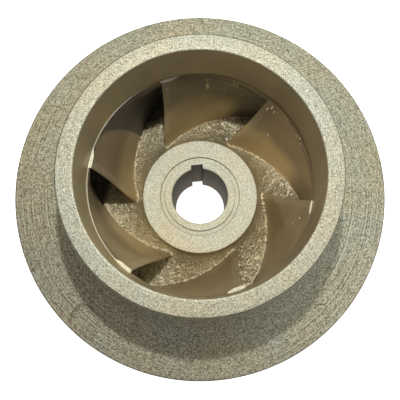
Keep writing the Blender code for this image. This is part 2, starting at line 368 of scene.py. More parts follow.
def painted_vane_shade(g):
    """How far painted shade darkens the skin, on two neighbouring vanes.

    The one at -X is shaded wholly near the inlet and less below, with a border that dips towards +Y. The one at
    +Y is shaded about half near the inlet.
    """
    top_share, lower_share = 0.55, 0.4
    dip, dip_starts, dip_steepness = 22 * MM, 12 * MM, 80.0
    x, y, z = g.axes()
    beyond = g.larger(g.minus(y, dip_starts), 0.0)
    deeper = g.times(g.math("POWER", g.times(beyond, dip_steepness), 3.0), dip)
    border = g.plus(deeper, g.times(g.noise(3 * MM), 3 * MM))
    high = g.smooth(g.plus(z, border), 58.5 * MM, 63.0 * MM)
    lower = g.times(g.smooth(y, -15 * MM, -4 * MM), g.smooth(g.radius(), 28 * MM, 34 * MM))
    on_left = g.larger(high, g.times(lower, lower_share))
    left = g.smooth(x, -19 * MM, -22 * MM)
    top = g.smooth(g.plus(z, g.times(g.noise(5 * MM), 6 * MM)), 46 * MM, 54 * MM)
    on_top = g.times(top, g.smooth(y, 22 * MM, 30 * MM))
    on_top = g.times(on_top, g.minus(1.0, left))
    return g.plus(g.times(on_left, left), g.times(on_top, top_share))


def painted_ledge_shade(g):
    """1 on the band of painted shade on the wall under the ledge, which widens round the +X side away from one
    vane.
    """
    narrow, wide = 1.2 * MM, 7.5 * MM
    ragged = 2.4 * MM
    blur = 0.4 * MM
    x, y, z = g.axes()
    width = g.span(y, 30 * MM, 2 * MM, narrow, wide)
    reach = g.plus(width, g.times(g.noise(1.2 * MM), ragged))
    band = g.smooth(g.minus(g.plus(z, reach), LEDGE_Z + ragged / 2), -blur, blur)
    band = g.times(band, g.smooth(y, -4 * MM, 0.0))
    return g.times(band, g.smooth(x, 20 * MM, 27 * MM))


def blasted(name, dark, light, size, contrast=1.6, stripes=0.0, metallic=0.35, calm_inside=False):
    """A turned surface blasted with grit: a fine bright grain, drawn out a little along the tool marks.

    stripes is how strongly the marks themselves show, most far from the plane x = 0. calm_inside evens the
    grain out near the neck.
    """
    g = Graph(name)
    drawn = g.grains(size * 0.9, g.round_the_axis(2.2))
    tone = g.plus(g.times(g.grains(size), 0.6), g.times(drawn, 0.4))
    if stripes:
        turned = g.noise(0.3 * MM, detail=1.0, vector=g.add("CombineXYZ", 0, X=g.radius()))
        x, _, _ = g.axes()
        side = g.smooth(g.math("ABSOLUTE", x), 5 * MM, 35 * MM)
        where = g.times(g.span(g.noise(14 * MM, detail=1.0), 0.42, 0.62, 0.3, 1.0), side)
        tone = g.plus(tone, g.times(g.minus(turned, 0.5), g.times(where, stripes)))
    if calm_inside:
        tone = g.calmed(tone, g.span(g.radius(), 46 * MM, 51 * MM, 0.35, 1.0))
    spread = 0.5 / contrast
    colour = g.mix(g.span(tone, 0.5 - spread, 0.5 + spread), dark, light)
    blotch = g.noise(9 * MM, detail=3.0)
    warm = g.mix(g.span(blotch, 0.35, 0.65), (0.93, 0.97, 1.0), (1.0, 0.95, 0.88))
    colour = g.mix(1.0, colour, warm, blend="MULTIPLY")
    roughness = g.span(tone, 0.0, 1.0, 0.68, 0.46)
    return g.finish(colour, roughness, metallic, height=tone, depth=0.05 * MM, strength=0.3)


def smooth_cast(name, colour_a, colour_b, speck_shares, roughness=0.42):
    """The skin that a smooth sand core leaves: soft mottling, a shallow ripple and bright flecks.

    speck_shares are the flecks added near the ledge and those everywhere, as shares of the speck cells.
    """
    g = Graph(name)
    near_ledge, everywhere = speck_shares
    blotch = g.noise(7 * MM, detail=3.0)
    fine = g.noise(0.9 * MM, detail=2.0)
    colour = g.mix(g.span(blotch, 0.32, 0.68), colour_a, colour_b)
    colour = g.mix(g.span(fine, 0.3, 0.7, 0.0, 0.18), colour, BROWN)
    # painted light: the lower vanes brightened to gold where light falls
    colour = g.mix(painted_light_on_vanes(g), colour, PAINTED_LIGHT_GOLD)
    # painted shade on the upper parts of two vanes
    colour = g.mix(g.times(painted_vane_shade(g), 0.92), colour, VANE_SHADE)
    # painted shade on the wall under the ledge
    colour = g.mix(g.times(painted_ledge_shade(g), 0.65), colour, LEDGE_SHADE)
    # painted shade deep inside the passages
    colour = g.mix(painted_passage_shade(g), colour, PASSAGE_SHADE)
    _, _, z = g.axes()
    high = g.smooth(z, LEDGE_Z - 5 * MM, LEDGE_Z)
    share = g.times(high, g.span(blotch, 0.42, 0.6, 0.0, near_ledge))
    colour = g.mix(g.specks(0.42 * MM, g.plus(share, everywhere)), colour, BRIGHT_SPECK)
    height = g.plus(fine, g.times(blotch, 2.0))
    return g.finish(colour, roughness, 0.6, height=height, depth=0.06 * MM, strength=0.4)


def rough_cast(name, dark, light, crest_highlight):
    """Coarse sand texture with fine wrinkles, their crests painted bright as a highlight."""
    g = Graph(name)
    bent = g.add("TexNoise", "Color", Vector=g.position, Scale=1 / (1.6 * MM), Detail=1.0)
    warp = g.add("VectorMath", 0, {"operation": "SCALE"}, Vector=bent, Scale=0.9 * MM)
    place = g.add("VectorMath", 0, {"operation": "ADD"})
    g.put(place.node.inputs[0], g.round_the_axis(1.0))
    g.put(place.node.inputs[1], warp)
    cells = {"feature": "DISTANCE_TO_EDGE"}
    from_crest = g.add("TexVoronoi", "Distance", cells, Vector=place, Scale=1 / (1.15 * MM))
    crest = g.span(from_crest, 0.0, 0.2, 1.0, 0.0)
    wrinkle = g.span(from_crest, 0.0, 0.5, 1.0, 0.0)
    calm = g.span(g.radius(), 22 * MM, 32 * MM, 0.5, 1.0)
    tone = g.plus(g.times(g.grains(0.3 * MM), 0.5), g.times(wrinkle, 0.5))
    tone = g.calmed(tone, calm)
    colour = g.mix(g.span(tone, 0.2, 0.8), dark, light)
    where = g.times(g.span(g.noise(3 * MM), 0.4, 0.62, 0.05, 0.75), calm)
    # painted highlight on the wrinkles' crests
    colour = g.mix(g.times(crest, where), colour, crest_highlight)
    # painted shade deep inside the passages
    colour = g.mix(g.times(painted_passage_shade(g), 0.9), colour, PASSAGE_SHADE)
    return g.finish(colour, 0.38, 0.6, height=tone, depth=0.40 * MM, strength=1.0)


def turned_metal(name, colour_a, colour_b, roughness):
    """A bored or turned wall: fine rings across a smooth face."""
    g = Graph(name)
    _, _, z = g.axes()
    rings = g.noise(0.25 * MM, detail=2.0, vector=g.add("CombineXYZ", 0, X=z))
    blotch = g.noise(10 * MM, detail=2.0)
    colour = g.mix(g.span(blotch, 0.35, 0.65), colour_a, colour_b)
    return g.finish(colour, roughness, 0.6, height=rings, depth=0.02 * MM, strength=0.3)


def ledge_metal(name, bright, dull):
    """The narrow ledge where the bored inlet stops: bright where the tool cut it wide, dull elsewhere."""
    g = Graph(name)
    x, y, _ = g.axes()
    speckle = g.noise(0.5 * MM, detail=1.0)
    leftward = g.plus(x, g.times(y, -0.17))
    wide = g.smooth(g.plus(leftward, g.times(speckle, 6 * MM)), -18 * MM, -23 * MM)
    colour = g.mix(wide, dull, bright)
    return g.finish(colour, 0.5, 0.4, height=speckle, depth=0.05 * MM, strength=0.4)


# Turned and blasted faces: name, colours of the dark and the light grains, size of a grain
MACHINED = blasted("machined_face", (0.205, 0.195, 0.16), (0.71, 0.68, 0.555), 0.20 * MM, contrast=1.7)
HUB_FACE = blasted(
    "machined_hub_face", (0.62, 0.595, 0.43), (1.0, 1.0, 0.88), 0.25 * MM, contrast=2.2, metallic=0.08
)
TIP_FACE = blasted(
    "faced_tip", (0.62, 0.57, 0.43), (0.98, 0.92, 0.74), 0.20 * MM, contrast=1.3, metallic=0.15
)
LAND = blasted("neck_land", (0.40, 0.385, 0.33), (0.54, 0.52, 0.445), 0.30 * MM, contrast=0.8)
FLANGE = blasted(
    "blasted_flange", (0.125, 0.115, 0.080), (0.62, 0.585, 0.465), 0.24 * MM,
    contrast=1.8, stripes=1.2, calm_inside=True,
)
# painted shade for the rounded edges turned from the light and for the mould marks
EDGE_SHADE = blasted("neck_edge_painted_shade", (0.10, 0.095, 0.065), (0.22, 0.21, 0.15), 0.3 * MM)
DRIP = blasted("dripped_metal", (0.34, 0.27, 0.16), (0.80, 0.68, 0.44), 0.30 * MM, contrast=2.0)

# Bored walls and the ledge
BORED = turned_metal("bored_wall", (0.29, 0.225, 0.14), (0.37, 0.295, 0.17), 0.38)
SHAFT_BORE = turned_metal("shaft_bore_wall", (0.105, 0.080, 0.040), (0.135, 0.105, 0.055), 0.7)
LEDGE = ledge_metal("ledge_face", (0.52, 0.47, 0.37), (0.22, 0.175, 0.11))

# Cast skins: name, two colours of the mottling, shares of bright flecks
SKIN = smooth_cast("smooth_cast_skin", (0.325, 0.25, 0.145), (0.42, 0.325, 0.19), (0.10, 0.0))
NOSE_SKIN = smooth_cast(
    "vane_nose_skin", (0.38, 0.305, 0.185), (0.48, 0.385, 0.24), (0.30, 0.09), roughness=0.5
)
# painted shade for the walls and corners of the hub's groove
GROOVE_SHADE = smooth_cast(
    "painted_groove_shade", (0.09, 0.065, 0.03), (0.12, 0.088, 0.042), (0.0, 0.0), roughness=0.7
)

# Rough castings: name, colours of the hollows, of the lumps and of the painted highlight on the crests
ROUGH = rough_cast("rough_cast_floor", (0.22, 0.185, 0.11), (0.66, 0.57, 0.36), (1.0, 0.95, 0.73))
PLAIN_CAST = rough_cast("plain_cast", (0.22, 0.20, 0.14), (0.36, 0.32, 0.23), (0.42, 0.39, 0.30))
# real beads of metal, their near-white colours a painted glint
BEAD_GLINT = rough_cast("bead_metal_painted_glint", (0.80, 0.72, 0.50), (1.0, 0.95, 0.76), (1.0, 0.97, 0.82))


class Profile:
    """A closed outline of (radius, z) points. Each stretch has a material slot and a point spacing."""

    def __init__(self, start):
        self.points = [start]
        self.slots = []

    def line(self, end, slot, step):
        start = self.points[-1]
        count = max(1, math.ceil(math.dist(start, end) / step))
        for i in range(1, count + 1):
            t = i / count
            self.points.append((start[0] + (end[0] - start[0]) * t, start[1] + (end[1] - start[1]) * t))
            self.slots.append(slot)

    def arc(self, centre, size, start, end, slot, steps):
        for i in range(1, steps + 1):
            a = math.radians(start + (end - start) * i / steps)
            self.points.append((centre[0] + size[0] * math.cos(a), centre[1] + size[1] * math.sin(a)))
            self.slots.append(slot)

    def close(self):
        """The last point meets the first, so it is left out."""
        self.points.pop()


def add_object(name, data):
    obj = bpy.data.objects.new(name, data)
    bpy.context.scene.collection.objects.link(obj)
    return obj


def mesh_of(name, bm, material):
    """The bmesh as a mesh of that material. The bmesh is freed."""
    mesh = bpy.data.meshes.new(name)
    bm.to_mesh(mesh)
    bm.free()
    mesh.materials.append(material)
    return mesh


def add_mesh(name, vertices, faces, slots, materials):
    mesh = bpy.data.meshes.new(name)
    mesh.from_pydata(vertices, [], faces)
    for material in materials:
        mesh.materials.append(material)
    mesh.polygons.foreach_set("material_index", slots)
    mesh.shade_smooth()
    mesh.update()
    return add_object(name, mesh)


def outward_normals(points):
    """The outline's normals at its points, and whether it runs counter-clockwise."""
    ahead = np.roll(points, -1, axis=0)
    along = ahead - np.roll(points, 1, axis=0)
    along /= np.linalg.norm(along, axis=1)[:, None]
    normals = np.stack([along[:, 1], -along[:, 0]], axis=1)
    area = np.sum(points[:, 0] * ahead[:, 1] - ahead[:, 0] * points[:, 1])
    return (normals if area > 0 else -normals), area > 0


def skin(name, profile, materials, segments=SEGMENTS, relief=None, shift=None):
    """Spins the profile once round.

    relief(point, slot) lifts a point along its normal, and shift(r, z) moves a ring sideways.
    """
    points = np.array(profile.points)
    normals, counter_clockwise = outward_normals(points)
    vertices = []
    angles = [TAU * i / segments for i in range(segments)]
    for (r, z), (nr, nz), slot in zip(points, normals, profile.slots):
        dx, dy = shift(r, z) if shift else (0.0, 0.0)
        for a in angles:
            c, s = math.cos(a), math.sin(a)
            lift = relief(Vector((r * c, r * s, z)), slot) if relief else 0.0
            out = r + nr * lift
            vertices.append((out * c + dx, out * s + dy, z + nz * lift))
    faces, slots = [], []
    count = len(points)
    for j in range(count):
        k = (j + 1) % count
        for i in range(segments):
            n = (i + 1) % segments
            quad = (j * segments + i, j * segments + n, k * segments + n, k * segments + i)
            faces.append(quad if counter_clockwise else quad[::-1])
            slots.append(profile.slots[j])
    return add_mesh(name, vertices, faces, slots, materials)


def rides(piece, slot, *nodes):
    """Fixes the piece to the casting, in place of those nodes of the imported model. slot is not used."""
    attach(piece, "root")
    if nodes:
        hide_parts(*nodes)
    return piece


def grain(point, size, seed=0.0):
    return noise.noise(Vector((point.x / size, point.y / size, point.z / size + seed)))


def throat_shift(r, z):
    """How far a ring of the front casting follows the sand core: wholly in the throat, less outwards."""
    close = 0.01 * MM
    on_ledge = z <= LEDGE_Z and r < INLET_RADIUS - close
    below_ledge = z < LEDGE_Z - close and r < NECK_RADIUS - close
    if not (on_ledge or below_ledge):
        return 0.0, 0.0
    share = float(1 - smooth_step((r - THROAT_RADIUS) / TURN_WIDTH))
    return (
        share * CORE_SHIFT * math.cos(CORE_SHIFT_ANGLE),
        share * CORE_SHIFT * math.sin(CORE_SHIFT_ANGLE),
    )


def make_front():
    """Inlet neck and front shroud: bored inlet, rim, the neck's land, the flange and its underside."""
    machined, bored, flange, cast, plain, land, edge, ledge = range(8)
    round_edge = 0.5 * MM
    foot = 0.8 * MM
    outer_edge = 0.4 * MM
    turn_centre = (THROAT_RADIUS + TURN_WIDTH, UNDER_Z + TURN_DROP)
    outer = OUTER_RADIUS - INSET
    rim = RIM_Z - INSET
    p = Profile((THROAT_RADIUS, LEDGE_Z))
    p.line((INLET_RADIUS, LEDGE_Z), ledge, 0.2 * MM)
    p.line((INLET_RADIUS, rim - round_edge), bored, 1.5 * MM)
    p.arc((INLET_RADIUS + round_edge, rim - round_edge), (round_edge, round_edge), 180, 90, machined, 5)
    p.line((NECK_RADIUS - round_edge, rim), machined, 0.8 * MM)
    # the rim's outer edge takes painted shade
    p.arc((NECK_RADIUS - round_edge, rim - round_edge), (round_edge, round_edge), 90, 0, edge, 6)
    p.line((NECK_RADIUS, FLANGE_Z + foot), land, 2.5 * MM)
    p.arc((NECK_RADIUS + foot, FLANGE_Z + foot), (foot, foot), 180, 270, land, 5)
    p.line((outer - outer_edge, FLANGE_Z), flange, 1.0 * MM)
    # and so does the flange's outer edge
    p.arc((outer - outer_edge, FLANGE_Z - outer_edge), (outer_edge, outer_edge), 90, 0, edge, 4)
    p.line((outer, UNDER_Z + outer_edge), plain, 0.8 * MM)
    p.arc((outer - outer_edge, UNDER_Z + outer_edge), (outer_edge, outer_edge), 0, -90, plain, 4)
    p.line((turn_centre[0], UNDER_Z), plain, 1.5 * MM)
    p.arc(turn_centre, (TURN_WIDTH, TURN_DROP), 270, 180, cast, 36)
    p.close()

    def relief(point, slot):
        return THROAT_LIFT * grain(point, 1.3 * MM) if slot == cast else 0.0

    materials = [MACHINED, BORED, FLANGE, SKIN, PLAIN_CAST, LAND, EDGE_SHADE, LEDGE]
    piece = skin("front_casting", p, materials, relief=relief, shift=throat_shift)
    return rides(piece, "cast_bronze", "inlet_neck", "front_shroud")


def floor_height(radius):
    x = np.clip((radius - HUB_RADIUS) / SWEEP_WIDTH, 0.0, 1.0)
    return FLOOR_Z + SWEEP_DROP * (1 - np.sqrt(1 - (1 - x) ** 2))


def make_back():
    """Hub flare and back shroud: the rough floor between the vanes, the edge and the rear face."""
    rough, plain, faced = range(3)
    inside = HUB_RADIUS - 1.5 * MM
    outer = OUTER_RADIUS - INSET
    edge = 0.4 * MM
    top = FLOOR_Z + SWEEP_DROP
    fillet_centre = (HUB_RADIUS + REAR_FILLET, REAR_Z - REAR_FILLET)
    p = Profile((inside, top))
    p.line((HUB_RADIUS, top), rough, 1 * MM)
    p.arc((HUB_RADIUS + SWEEP_WIDTH, top), (SWEEP_WIDTH, SWEEP_DROP), 180, 270, rough, 44)
    p.line((46 * MM, FLOOR_Z), rough, 0.4 * MM)
    p.line((outer - edge, FLOOR_Z), rough, 1.2 * MM)
    p.arc((outer - edge, FLOOR_Z - edge), (edge, edge), 90, 0, plain, 3)
    p.line((outer, REAR_Z + edge), plain, 1.2 * MM)
    p.arc((outer - edge, REAR_Z + edge), (edge, edge), 0, -90, plain, 3)
    p.line((HUB_RADIUS + REAR_FILLET, REAR_Z), faced, 2.5 * MM)
    p.arc(fillet_centre, (REAR_FILLET, REAR_FILLET), 90, 180, plain, 5)
    p.line((inside, REAR_Z - REAR_FILLET), plain, 1 * MM)
    p.line((inside, top), plain, 3 * MM)
    p.close()

    def relief(point, slot):
        if slot != rough:
            return 0.0
        radius = math.hypot(point.x, point.y)
        fade = float(smooth_step((radius - HUB_RADIUS) / ROUGH_FADE))
        lumps = FINE_LIFT * grain(point, 0.9 * MM) + BROAD_LIFT * grain(point, 2.2 * MM, 7.0)
        lumps += RIDGE_LIFT * (0.5 - abs(2 * grain(point, 1.3 * MM, 3.0)))
        return fade * MM * lumps

    piece = skin("back_casting", p, [ROUGH, PLAIN_CAST, FLANGE], relief=relief)
    return rides(piece, "cast_bronze", "back_shroud", "hub_flare")


def make_hub():
    """The hub with its bore, the ring groove in its face and its keyway."""
    face, bore, dark, outside = range(4)
    edge = 0.35 * MM
    chamfer = 0.3 * MM
    groove_z = HUB_TOP - GROOVE_DEPTH
    p = Profile((BORE_RADIUS, chamfer))
    p.line((BORE_RADIUS, HUB_TOP - chamfer), bore, 3 * MM)
    p.line((BORE_RADIUS + chamfer, HUB_TOP), face, 1 * MM)
    p.line((GROOVE_INNER, HUB_TOP), face, 1 * MM)
    # the groove's walls and corners take painted shade
    p.line((GROOVE_INNER + GROOVE_SLOPE, groove_z), dark, 1 * MM)
    p.line((GROOVE_INNER + GROOVE_SHADE_WIDTH, groove_z), dark, 1 * MM)
    p.line((GROOVE_OUTER - GROOVE_SHADE_WIDTH, groove_z), face, 1 * MM)
    p.line((GROOVE_OUTER - GROOVE_SLOPE, groove_z), dark, 1 * MM)
    p.line((GROOVE_OUTER, HUB_TOP), dark, 1 * MM)
    p.line((HUB_RADIUS - edge, HUB_TOP), face, 1 * MM)
    p.arc((HUB_RADIUS - edge, HUB_TOP - edge), (edge, edge), 90, 0, face, 4)
    p.line((HUB_RADIUS, edge), outside, 4 * MM)
    p.arc((HUB_RADIUS - edge, edge), (edge, edge), 0, -90, outside, 4)
    p.line((BORE_RADIUS + chamfer, 0), outside, 1 * MM)
    p.line((BORE_RADIUS, chamfer), outside, 1 * MM)
    p.close()
    hub = skin("hub_casting", p, [HUB_FACE, SHAFT_BORE, GROOVE_SHADE, MACHINED], segments=HUB_SEGMENTS)
    cut_keyway(hub)
    hub.data.shade_smooth()
    hub.data.set_sharp_from_angle(angle=math.radians(35))
    return rides(hub, "machined_bronze", "hub")


def cut_keyway(hub):
    inner = BORE_RADIUS / 2
    bm = bmesh.new()
    bmesh.ops.create_cube(bm, size=1)
    bmesh.ops.scale(bm, vec=(KEYWAY_FLOOR - inner, KEY_WIDTH, HUB_TOP * 1.5), verts=bm.verts)
    bmesh.ops.translate(bm, vec=((KEYWAY_FLOOR + inner) / 2, 0, HUB_TOP / 2), verts=bm.verts)
    bmesh.ops.rotate(bm, matrix=Matrix.Rotation(KEYWAY_ANGLE, 3, "Z"), verts=bm.verts)
    key = add_object("key", mesh_of("key", bm, SHAFT_BORE))
    cut = hub.modifiers.new("keyway", "BOOLEAN")
    cut.operation = "DIFFERENCE"
    cut.solver = "EXACT"
    cut.object = key
    cut.material_mode = "TRANSFER"
    bpy.context.view_layer.update()
    evaluated = hub.evaluated_get(bpy.context.evaluated_depsgraph_get())
    hub.data = bpy.data.meshes.new_from_object(evaluated)
    hub.modifiers.clear()
    bpy.data.objects.remove(key)


class Meridian:
    """A curve of (radius, z) points, read by its length along the curve."""

    def __init__(self, points):
        self.points = np.array(points)
        steps = np.linalg.norm(np.diff(self.points, axis=0), axis=1)
        self.lengths = np.concatenate([[0.0], np.cumsum(steps)])
        self.length = self.lengths[-1]
        self.tangents = np.diff(self.points, axis=0) / steps[:, None]

    def at(self, m):
        r = np.interp(m, self.lengths, self.points[:, 0])
        z = np.interp(m, self.lengths, self.points[:, 1])
        before = np.minimum(m, 0.0)
        return r + before * self.tangents[0, 0], z + before * self.tangents[0, 1]

    def tangent(self, m):
        step = np.searchsorted(self.lengths, m, side="right") - 1
        return self.tangents[np.clip(step, 0, len(self.tangents) - 1)].T


def root_meridian():
    radius = np.linspace(ROOT_START, TAIL_RADIUS, MERIDIAN_POINTS)
    return Meridian(np.stack([radius, floor_height(radius)], axis=1))


def tip_meridian(rise):
    """The line of the tips: down the throat wall from rise over the ledge, then under the front shroud."""
    a = np.radians(np.linspace(180, 270, MERIDIAN_POINTS))
    radius = THROAT_RADIUS + TURN_WIDTH + TURN_WIDTH * np.cos(a)
    z = UNDER_Z + TURN_DROP + TURN_DROP * np.sin(a)
    start_z = LEDGE_Z + rise
    start_radius = np.interp(-start_z, -z, radius)
    below = z < start_z
    last = [[TAIL_RADIUS, z[-1]]]
    turn = np.stack([radius[below], z[below]], axis=1)
    return Meridian(np.concatenate([[[start_radius, start_z]], turn, last]))


def blade_angle(m, blade_angles):
    at_nose, further_out = blade_angles
    return at_nose + (further_out - at_nose) * smooth_step(m / BLADE_ANGLE_RUN)


def thickness(x):
    """The vane's thickness at a share x of its length: it swells behind the nose and thins to the tail."""
    swell = NOSE_THICKNESS + (VANE_THICKNESS - NOSE_THICKNESS) * smooth_step(x / SWELL_ENDS)
    thinning = smooth_step((x - THINNING_STARTS) / (1 - THINNING_STARTS))
    return swell - (VANE_THICKNESS - TAIL_THICKNESS) * thinning


def section(meridian, first, blade_angles, side):
    """The vane's outline on one shroud: the inner face from tail to nose, round it, and the outer face.

    Gives its points and the shroud's normals there. side is 1 for the back shroud, -1 for the front one.
    """
    beta = blade_angles[0]
    m = np.linspace(0, meridian.length, TURN_SAMPLES)
    middle = (m[1:] + m[:-1]) / 2
    turning = np.diff(m) / (meridian.at(middle)[0] * np.tan(blade_angle(middle, blade_angles)))
    turned = np.concatenate([[0.0], np.cumsum(turning)])
    turned *= (first - TAIL_ANGLE) / turned[-1]
    start = NOSE_THICKNESS * math.cos(beta)

    def place(length, angle):
        r, z = meridian.at(length)
        tr, tz = meridian.tangent(length) * side
        point = np.stack([r * np.cos(angle), r * np.sin(angle), z * np.ones_like(angle)], axis=1)
        normal = np.stack([-tz * np.cos(angle), -tz * np.sin(angle), tr], axis=1)
        return np.stack([point, normal])

    inner = np.interp(np.linspace(turned[-1], 0, STATIONS + 1), turned, m)
    outer = start + (meridian.length - start) * inner[::-1] / meridian.length
    turn = np.linspace(-math.pi / 2, math.pi / 2, NOSE_STEPS + 1)[1:-1]
    along = NOSE_LENGTH * np.cos(turn)
    sideways = NOSE_THICKNESS / 2 * (1 + np.sin(turn))
    nose_m = sideways * math.cos(beta) - along * math.sin(beta)
    nose_angle = first + (sideways * math.sin(beta) + along * math.cos(beta)) / meridian.at(0.0)[0]
    arc = meridian.at(outer)[0] * np.sin(blade_angle(outer, blade_angles))
    across = thickness(outer / meridian.length) / arc
    return np.concatenate([
        place(inner, first - np.interp(inner, m, turned)),
        place(nose_m, nose_angle),
        place(outer, first - np.interp(outer, m, turned) + across),
    ], axis=1)


def fillet(distance, corner, radius):
    """How far a fillet stands out from a face, at a distance along it from the surface it runs into.

    corner is the angle between the normals of the two: 0 where the face only continues the surface.
    """
    corner = np.clip(corner, 0.0, math.radians(100))
    tangent = radius * np.tan(corner / 2)
    reach = np.clip(tangent - distance, 0.0, radius * np.sin(np.minimum(corner, math.pi / 2)))
    return radius - np.sqrt(radius ** 2 - reach ** 2)


def normals_of(grid):
    across = np.roll(grid, -1, axis=1) - np.roll(grid, 1, axis=1)
    normal = np.cross(np.gradient(grid, axis=0), across)
    return normal / np.linalg.norm(normal, axis=2)[..., None]


def corner_angle(normal, row, wall):
    """The angle between the face's normal and a shroud's, at each column's row nearest to that shroud."""
    cosine = np.sum(normal[row, np.arange(len(row))] * wall, axis=1)
    return np.arccos(np.clip(cosine, -1, 1))


def turned_about_axis(points, angle):
    c, s = math.cos(angle), math.sin(angle)
    return points @ np.array([[c, s, 0], [-s, c, 0], [0, 0, 1]])


def bow(straight, t, pair, from_nose):
    """How far each point bows out between root and tip, from the inner face towards the outer one.

    pair is each column's place on the inner face, and from_nose its share of the way from nose to tail.
    """
    count = straight.shape[1]
    away = straight[:, count - 1 - pair] - straight[:, pair]
    away /= np.linalg.norm(away, axis=2)[..., None]
    sag = FAR_SAG + (SAG - FAR_SAG) * (1 - smooth_step(from_nose / SAG_ENDS))
    skewed = np.clip(t, 0, 1) ** SAG_SKEW
    return away * (sag * 4 * skewed * (1 - skewed))[..., None]


def vane_surface(tip_turn, rise, pad):
    """Points of the first vane by row, from under the back shroud's surface to over the front shroud's."""
    root, root_wall = section(root_meridian(), ROOT_ANGLE, ROOT_BLADE_ANGLES, 1)
    tip, tip_wall = section(tip_meridian(rise), TIP_ANGLE, TIP_BLADE_ANGLES, -1)
    tip, tip_wall = turned_about_axis(tip, tip_turn), turned_about_axis(tip_wall, tip_turn)

    # Heights of the rows over the root, along the straight lines from root to tip, closer at both ends
    reach = np.linalg.norm(tip - root, axis=1)
    share = (1 - np.cos(np.linspace(0, math.pi, VANE_ROWS))) / 2
    height = share[:, None] * (reach + ROOT_BURIED + TIP_BURIED)[None, :] - ROOT_BURIED
    t = height / reach

    # The ruled faces, which enter the front shroud square to its surface, and their bow
    straight = root[None] * (1 - t[..., None]) + tip[None] * t[..., None]
    buried = np.maximum(height - reach, 0.0)[..., None]
    grid = root[None] + (tip - root)[None] * np.minimum(t, 1.0)[..., None] - tip_wall[None] * buried
    column = np.arange(len(root))
    pair = np.minimum(np.minimum(column, len(root) - 1 - column), STATIONS)
    from_nose = 1 - pair / STATIONS
    bowed = bow(straight, t, pair, from_nose)
    grid = grid + bowed
    normal = normals_of(straight + bowed)

    # The fillets: at the tip one that grows from the nose on and runs out inside the wall
    root_corner = corner_angle(normal, np.argmin(np.abs(t), axis=0), root_wall)
    tip_corner = corner_angle(normal, np.argmin(np.abs(t - 1), axis=0), tip_wall)
    along_wall = from_nose * (TIP_ANGLE - TAIL_ANGLE) * THROAT_RADIUS
    tip_radius = NOSE_FILLET + (TIP_FILLET - NOSE_FILLET) * smooth_step(along_wall / FILLET_RUN)
    below_wall = np.maximum(reach - height, 0.0)
    run_out = normal * fillet(below_wall, tip_corner, tip_radius)[..., None]
    into_wall = np.maximum(-np.sum(run_out * tip_wall, axis=2), 0.0)
    run_out = run_out + tip_wall * into_wall[..., None]
    flare = fillet(height, root_corner, ROOT_FILLET)

    # The pad beside the ledge, on faces that look at the axis
    outward = grid[..., :2] / np.linalg.norm(grid[..., :2], axis=2)[..., None]
    facing_in = np.clip(-np.sum(normal[..., :2] * outward, axis=2), 0.0, 1.0)
    fading = pad * (1 - smooth_step(along_wall / PAD_RUN))
    flare += fading * facing_in * (1 - np.clip(below_wall / PAD_DEPTH, 0.0, 1.0)) ** 2
    grid = grid + normal * flare[..., None] + run_out
    radius = np.hypot(grid[..., 0], grid[..., 1])
    grid[..., :2] *= np.minimum(1.0, (OUTER_RADIUS - TAIL_INSET) / radius)[..., None]
    return grid


VANE_FACE, VANE_TIP, VANE_NOSE = range(3)
VANE_MATERIALS = [SKIN, TIP_FACE, NOSE_SKIN]


def make_vane(number):
    grid = vane_surface(TIP_TURNS[number - 1], TIP_RISES[number - 1], PADS[number - 1])
    grid = turned_about_axis(grid, -TAU * (number - 1) / VANE_COUNT)
    count = grid.shape[1]
    vertices = grid.reshape(-1, 3).tolist()
    faces, slots = [], []
    for row in range(VANE_ROWS - 1):
        a, b = row * count, (row + 1) * count
        for i in range(count):
            j = (i + 1) % count
            faces.append((a + i, a + j, b + j, b + i))
            slots.append(VANE_NOSE if STATIONS <= i < count - STATIONS - 1 else VANE_FACE)
    for base in (0, (VANE_ROWS - 1) * count):
        for i in range(STATIONS):
            faces.append((base + i, base + i + 1, base + count - 2 - i, base + count - 1 - i))
        faces.append(tuple(base + i for i in range(STATIONS, count - STATIONS)))
        slots.extend([VANE_FACE] * (STATIONS + 1))
    piece = add_mesh(f"vane_{number}_casting", vertices, faces, slots, VANE_MATERIALS)
    face_tip(piece)
    rides(piece, "vane_bronze", f"vane_{number}")
    make_beads(number, grid[:, : count // 2 + 1])
    return piece


def face_tip(vane):
    """Cuts the vane's tip off level with the ledge, where the inlet was bored."""
    bm = bmesh.new()
    bm.from_mesh(vane.data)
    bmesh.ops.recalc_face_normals(bm, faces=bm.faces)
    parts = bm.verts[:] + bm.edges[:] + bm.faces[:]
    level = LEDGE_Z + 0.02 * MM
    bmesh.ops.bisect_plane(bm, geom=parts, plane_co=(0, 0, level), plane_no=(0, 0, 1), clear_outer=True)
    open_edges = [e for e in bm.edges if e.is_boundary]
    made = bmesh.ops.holes_fill(bm, edges=open_edges, sides=0)["faces"]
    for face in made:
        face.material_index = VANE_TIP
        face.smooth = False
    bmesh.ops.triangulate(bm, faces=made)
    bm.to_mesh(vane.data)
    bm.free()
    vane.data.set_sharp_from_angle(angle=math.radians(40))


